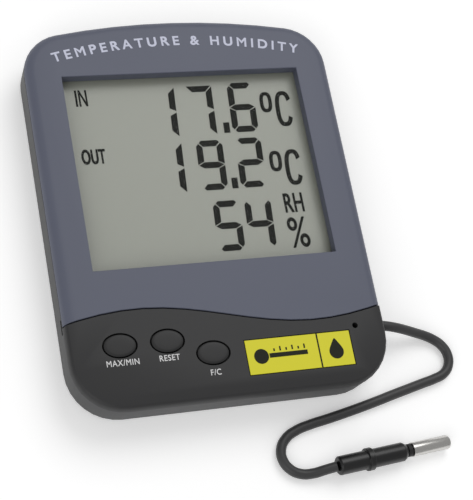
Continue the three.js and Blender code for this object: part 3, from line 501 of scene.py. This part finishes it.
def lettering(words, height, squeeze, spacing, bold):
    """Flat letters as a shape in millimetres, centred on the origin."""
    data = bpy.data.curves.new("letters", "FONT")
    data.body = words
    data.size = 10
    data.space_character = spacing
    data.align_x = "CENTER"
    data.align_y = "CENTER"
    data.resolution_u = 6
    holder = bpy.data.objects.new("letters", data)
    scene.collection.objects.link(holder)
    bpy.context.view_layer.update()
    mesh = bpy.data.meshes.new_from_object(holder)
    bpy.data.objects.remove(holder)
    shape = bmesh.new()
    shape.from_mesh(mesh)
    bpy.data.meshes.remove(mesh)
    ys = [vert.co.y for vert in shape.verts]
    xs = [vert.co.x for vert in shape.verts]
    scale = (height - 2 * bold) / (max(ys) - min(ys))
    centre = Vector(((max(xs) + min(xs)) / 2, (max(ys) + min(ys)) / 2, 0))
    bmesh.ops.translate(shape, vec=-centre, verts=shape.verts)
    bmesh.ops.scale(shape, vec=(scale * squeeze, scale, 1), verts=shape.verts)
    bmesh.ops.remove_doubles(shape, verts=shape.verts, dist=LETTER_GAP)
    bmesh.ops.dissolve_degenerate(shape, dist=LETTER_GAP, edges=shape.edges)
    return thickened(shape, bold)


def print_words(name, words, centre, height, z, material, slot, **style):
    """Straight words printed about a centre."""
    shape = lettering(words, height, **style)
    bmesh.ops.translate(shape, vec=(centre[0], centre[1], z), verts=shape.verts)
    print_piece(name, shape, material)


for name, words, centre, height, squeeze, bold in (
    ("lcd_word_in", "IN", (-35.3, 42.0), 6.2, 0.5, 0.2),
    ("lcd_word_out", "OUT", (-34.3, 20.3), 5.6, 0.5, 0.2),
    ("lcd_word_rh", "RH", (32.6, -1.1), 7.2, 0.56, 0.2),
    ("lcd_percent", "%", (32.2, -12.0), 11.2, 0.72, 0.12),
):
    print_words(name, words, centre, height, DISPLAY_Z, segment_ink, "black_part",
                squeeze=squeeze, spacing=1.06, bold=bold)

SIGN_FULLNESS = 0.75  # under 1 makes a ring's sides straighter than an ellipse's


def sign_ring(shape, centre, size, stroke, opening=0.0):
    """An upright O, or a C where an opening, as a share of the height, is left on its right."""
    loops = []
    for inset in (0, stroke):
        circle = bmesh.ops.create_circle(shape, segments=56, radius=1)["verts"]
        for vert in circle:
            reach = [math.copysign(abs(value) ** SIGN_FULLNESS, value) for value in vert.co.xy]
            across = reach[0] * (size[0] / 2 - inset)
            high = reach[1] * (size[1] / 2 - inset)
            vert.co = (centre[0] + across + high * LEAN, centre[1] + high, DISPLAY_Z)
        loops += dict.fromkeys(line for vert in circle for line in vert.link_edges)
    faces = bmesh.ops.bridge_loops(shape, edges=loops)["faces"]
    gone = []
    for face in faces:
        aside = face.calc_center_median() - Vector((centre[0], centre[1], DISPLAY_Z))
        if aside.x > 0 and abs(aside.y) < opening * size[1]:
            gone.append(face)
    bmesh.ops.delete(shape, geom=gone, context="FACES")


DEGREE_STROKE = 1.3
CELSIUS_STROKE, CELSIUS_OPENING = 1.55, 0.24
signs = bmesh.new()
sign_ring(signs, (30.1, 37.3), (4.5, 7.8), DEGREE_STROKE)
sign_ring(signs, (36.3, 34.5), (6.1, 13.6), CELSIUS_STROKE, CELSIUS_OPENING)
sign_ring(signs, (29.2, 14.7), (4.5, 7.7), DEGREE_STROKE)
sign_ring(signs, (35.3, 12.1), (6.1, 13.4), CELSIUS_STROKE, CELSIUS_OPENING)
print_piece("lcd_signs", signs, segment_ink)

# ---- Printed words and the label plate ----
# Pad-printed white words under the buttons, a pale arched line over the display, and a yellow
# label plate printed in black with a thermometer and a drop.

PRINT_LIFT = 0.01
PRINT_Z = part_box("front_case")[1].z / MM + PRINT_LIFT


def pad_print(name, dark, light, shine=0.5):
    """An ink for the case, from two sets of screen values."""
    return ink(name, from_screen(*dark), from_screen(*light), rough=0.5, shine=shine, fleck_scale=1200.0)


white_ink = pad_print("white_print", (215, 215, 215), (238, 238, 238))
lavender_ink = pad_print("pale_lavender_print", (200, 203, 222), (214, 217, 236))
black_ink = pad_print("black_print", (22, 24, 12), (32, 34, 18), 0.2)

BUTTON_NAME_HEIGHT = 2.0
for name, words, centre in (
    ("print_max_min", "MAX/MIN", (-37.1, -52.9)),
    ("print_reset", "RESET", (-21.8, -52.8)),
    ("print_units", "F/C", (-7.5, -59.1)),
):
    print_words(name, words, centre, BUTTON_NAME_HEIGHT, PRINT_Z, white_ink, "holder_white",
                squeeze=0.87, spacing=1.1, bold=0.035)

# The arched line follows the top edge: its letters are bent about the arch's centre.
ARCH_RADIUS = 200.0
ARCH_MIDDLE_Y = 60.0
STRAIGHT = math.radians(0.5)
arch = lettering("TEMPERATURE & HUMIDITY", 3.7, squeeze=1.04, spacing=1.5, bold=0.17)
bmesh.ops.dissolve_limit(arch, angle_limit=STRAIGHT, verts=arch.verts, edges=arch.edges)
for vert in arch.verts:
    angle = vert.co.x / ARCH_RADIUS
    out = ARCH_RADIUS + vert.co.y
    y = ARCH_MIDDLE_Y - ARCH_RADIUS + out * math.cos(angle)
    vert.co = (out * math.sin(angle), y, PRINT_Z)
bmesh.ops.triangulate(arch, faces=arch.faces)
print_piece("print_arched_line", arch, lavender_ink)

label_material = plastic("yellow_label_plate", from_screen(226, 220, 8), 0.42, 0.3, 0.03)
tidy_copy("label_plate", "label_plate_face", label_material, 0.06)

# The label's marks: a divider, a thermometer lying on its side with a scale over it, and a drop.
LABEL_Y = middle("label_plate").y
LABEL_HALF_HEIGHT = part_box("label_plate")[1].y / MM - LABEL_Y
DIVIDER_SIDES = (28.45, 28.95)
BULB_X, BULB_RADIUS = 8.6, 2.5
STEM_ENDS, STEM_HALF_WIDTH = (11.4, 24.6), 0.75
SCALE_START, SCALE_STEP, SCALE_FOOT = 13, 2.1, 1.35
TICK_COUNT, TICK_WIDTH, TICK_HEIGHTS = 6, 0.5, (0.9, 1.5)
DROP_X, DROP_BELOW, DROP_RADIUS, DROP_PEAK = 34.6, 0.9, 2.5, 2.0
DISC_SIDES = 40
marks = bmesh.new()


def box_mark(across, up):
    """A rectangle of the label's print, with heights from the label's middle line."""
    left, right = across
    low, high = LABEL_Y + up[0], LABEL_Y + up[1]
    flat_face(marks, [(left, low), (right, low), (right, high), (left, high)], PRINT_Z)


box_mark(DIVIDER_SIDES, (-LABEL_HALF_HEIGHT, LABEL_HALF_HEIGHT))
bulb = bmesh.ops.create_circle(marks, cap_ends=True, segments=DISC_SIDES, radius=BULB_RADIUS)["verts"]
bmesh.ops.translate(marks, vec=(BULB_X, LABEL_Y, PRINT_Z), verts=bulb)
box_mark(STEM_ENDS, (-STEM_HALF_WIDTH, STEM_HALF_WIDTH))
for step in range(TICK_COUNT):
    x = SCALE_START + SCALE_STEP * step
    box_mark((x, x + TICK_WIDTH), (SCALE_FOOT, SCALE_FOOT + TICK_HEIGHTS[step % 2]))
drop = bmesh.ops.create_circle(marks, cap_ends=True, segments=DISC_SIDES, radius=1)["verts"]
for vert in drop:
    peak = max(0.0, vert.co.y) ** 3
    x = DROP_X + DROP_RADIUS * vert.co.x * (1 - 0.5 * peak)
    y = LABEL_Y - DROP_BELOW + DROP_RADIUS * vert.co.y + DROP_PEAK * peak
    vert.co = (x, y, PRINT_Z)
print_piece("label_marks", marks, black_ink)

# ---- Probe ----
# A black moulded handle with a raised ring, a dark collar and a bright steel sensor cap with a
# rounded end, pushed onto the end of the cord.

probe_black = plastic("probe_handle_plastic", from_screen(20, 20, 21), 0.32, 0.4, 0.15)
collar_black = plastic("probe_collar_rubber", from_screen(22, 22, 23), 0.6, 0.6, 0.15)
SCRATCH_SCALE = 700.0
SCRATCH_DEPTH = 0.03


def metal(name, colour, rough):
    """Turned or drawn metal with faint fine scratches in its gloss."""
    material, start, sockets = new_material(name)
    scratch = noise(start, SCRATCH_SCALE, 6.0)
    join(scratch.mixed(shaded(colour, 0.93), shaded(colour, 1.05)), sockets["Base Color"])
    join(rough + scratch * 0.08, sockets["Roughness"])
    sockets["Metallic"].default_value = 1.0
    join(scratch.bump(0.08, SCRATCH_DEPTH * MM), sockets["Normal"])
    return material


bright_steel = metal("sensor_cap_steel", (0.6, 0.59, 0.57, 1), 0.2)
handle = tidy_copy("probe_body", "probe_handle", probe_black, 0.15)
collar = tidy_copy("probe_collar", "probe_collar_sleeve", collar_black, 0.1)
tip = tidy_copy("probe_tip", "probe_sensor_cap", bright_steel, 0)
grommet = tidy_copy("cord_grommet", "cord_grommet_ring", collar_black, 0.15)

# ---- Screws, board, cell and the other inner pieces ----
# Zinc-plated screws, a green board with its parts, an AAA cell and nickel contacts. They keep
# their designed shapes and take the finish of the real part.

ZINC_COLOUR = (0.62, 0.62, 0.6, 1)
zinc = metal("screw_zinc", ZINC_COLOUR, 0.3)
nickel = metal("contact_nickel", (0.7, 0.67, 0.6, 1), 0.25)
screws = ["case_screw_" + number for number in "1234"] + ["board_screw_left", "board_screw_right"]
for node in screws:
    tidy_copy(node, node + "_zinc", zinc, 0.05)

solder_mask = plastic("solder_mask", from_screen(24, 96, 58), 0.35, 0.3, 0.15, coat=0.3)
part_black = plastic("part_black_plastic", from_screen(24, 24, 25), 0.45, 0.6, 0.15)
holder_white = plastic("holder_white_plastic", from_screen(226, 226, 222), 0.5, 0.6, 0.04)
strip_rubber = plastic("connector_strip_rubber", from_screen(206, 160, 160), 0.7, 0.5, 0.08)
reflector_foil = metal("reflector_foil", (0.6, 0.62, 0.56, 1), 0.4)
wire_red = plastic("red_wire_sleeve", from_screen(170, 38, 30), 0.45, 0.3, 0.08)

# The cell: a steel can in a printed sleeve, bare at both ends, with an ochre part at one end.
SLEEVE_MIDDLE, SLEEVE_HALF_LENGTH, OCHRE_START = 23.6, 20.5, 34.0
SCUFF_SCALE = 400.0
cell_material, start, sockets = new_material("cell_sleeve")
place = start.make("ShaderNodeTexCoord", output=OBJECT_PLACE)
along = start.make("ShaderNodeSeparateXYZ", None, {0: place})
inside_sleeve = {0: along, 1: SLEEVE_MIDDLE * MM, 2: SLEEVE_HALF_LENGTH * MM}
sleeved = start.make("ShaderNodeMath", {"operation": "COMPARE"}, inside_sleeve)
scuff = noise(start, SCUFF_SCALE)
ochre = start.maths("GREATER_THAN", along, OCHRE_START * MM)
sleeve = ochre.mixed(from_screen(32, 60, 104), from_screen(196, 150, 60))
join(sleeved.mixed(ZINC_COLOUR, sleeve), sockets["Base Color"])
join(0.28 + scuff * 0.1, sockets["Roughness"])
join(1 - sleeved * 0.85, sockets["Metallic"])

inner_finish = {
    "main_board": solder_mask, "chip_blob": part_black, "capacitor": part_black, "crystal": zinc,
    "humidity_sensor": holder_white, "room_thermistor": part_black, "lcd_holder": holder_white,
    "connector_strip_top": strip_rubber, "connector_strip_bottom": strip_rubber,
    "lcd_reflector": reflector_foil, "lcd_rear_glass": lcd_material, "battery_cell": cell_material,
    "battery_spring": nickel, "negative_contact": nickel, "positive_contact": nickel,
    "negative_lead": collar_black, "positive_lead": wire_red, "probe_lead": cord_jacket,
}
for button in ("max_min", "reset", "unit"):
    inner_finish[button + "_switch"] = part_black
    inner_finish[button + "_plunger"] = part_black
for node, material in inner_finish.items():
    give_finish(node, material)

# ---- Table and light ----
# A plain pale table and an even white surround. A large soft light from above, beyond the far right
# corner, shades the display's top and right rims, and a weaker one fills in from the near left.

table_material, start, sockets = new_material("pale_table")
sockets["Base Color"].default_value = (0.95, 0.95, 0.95, 1)
sockets["Roughness"].default_value = 0.9
sockets["Emission Color"].default_value = (1, 1, 1, 1)
sockets["Emission Strength"].default_value = 0.3
TABLE_HALF_WIDTH = 3.0
TABLE_DROP = 0.05  # below the back of the case, so that the two don't lie in one plane
table_top = bmesh.new()
bmesh.ops.create_grid(table_top, x_segments=1, y_segments=1, size=TABLE_HALF_WIDTH)
bmesh.ops.translate(table_top, vec=(0, 0, -TABLE_DROP * MM), verts=table_top.verts)
table = piece_from(table_top, "table", table_material)

world = bpy.data.worlds.new("surround")
scene.world = world
world.use_nodes = True
world.node_tree.nodes["Background"].inputs["Color"].default_value = (1, 1, 1, 1)
world.node_tree.nodes["Background"].inputs["Strength"].default_value = 0.42


def soft_light(name, place, size, power):
    """A round lamp in metres and watts, aimed at the middle of the frame."""
    data = bpy.data.lights.new(name, "AREA")
    data.shape = "DISK"
    data.size = size
    data.energy = power
    lamp = bpy.data.objects.new(name, data)
    scene.collection.objects.link(lamp)
    lamp.location = place
    lamp.rotation_euler = (-Vector(place)).to_track_quat("-Z", "Y").to_euler()


soft_light("key_light", (0.35, 0.55, 0.9), 0.8, 4.0)
soft_light("fill_light", (-0.65, -0.65, 0.75), 0.9, 3.0)
scene.view_settings.view_transform = "Standard"
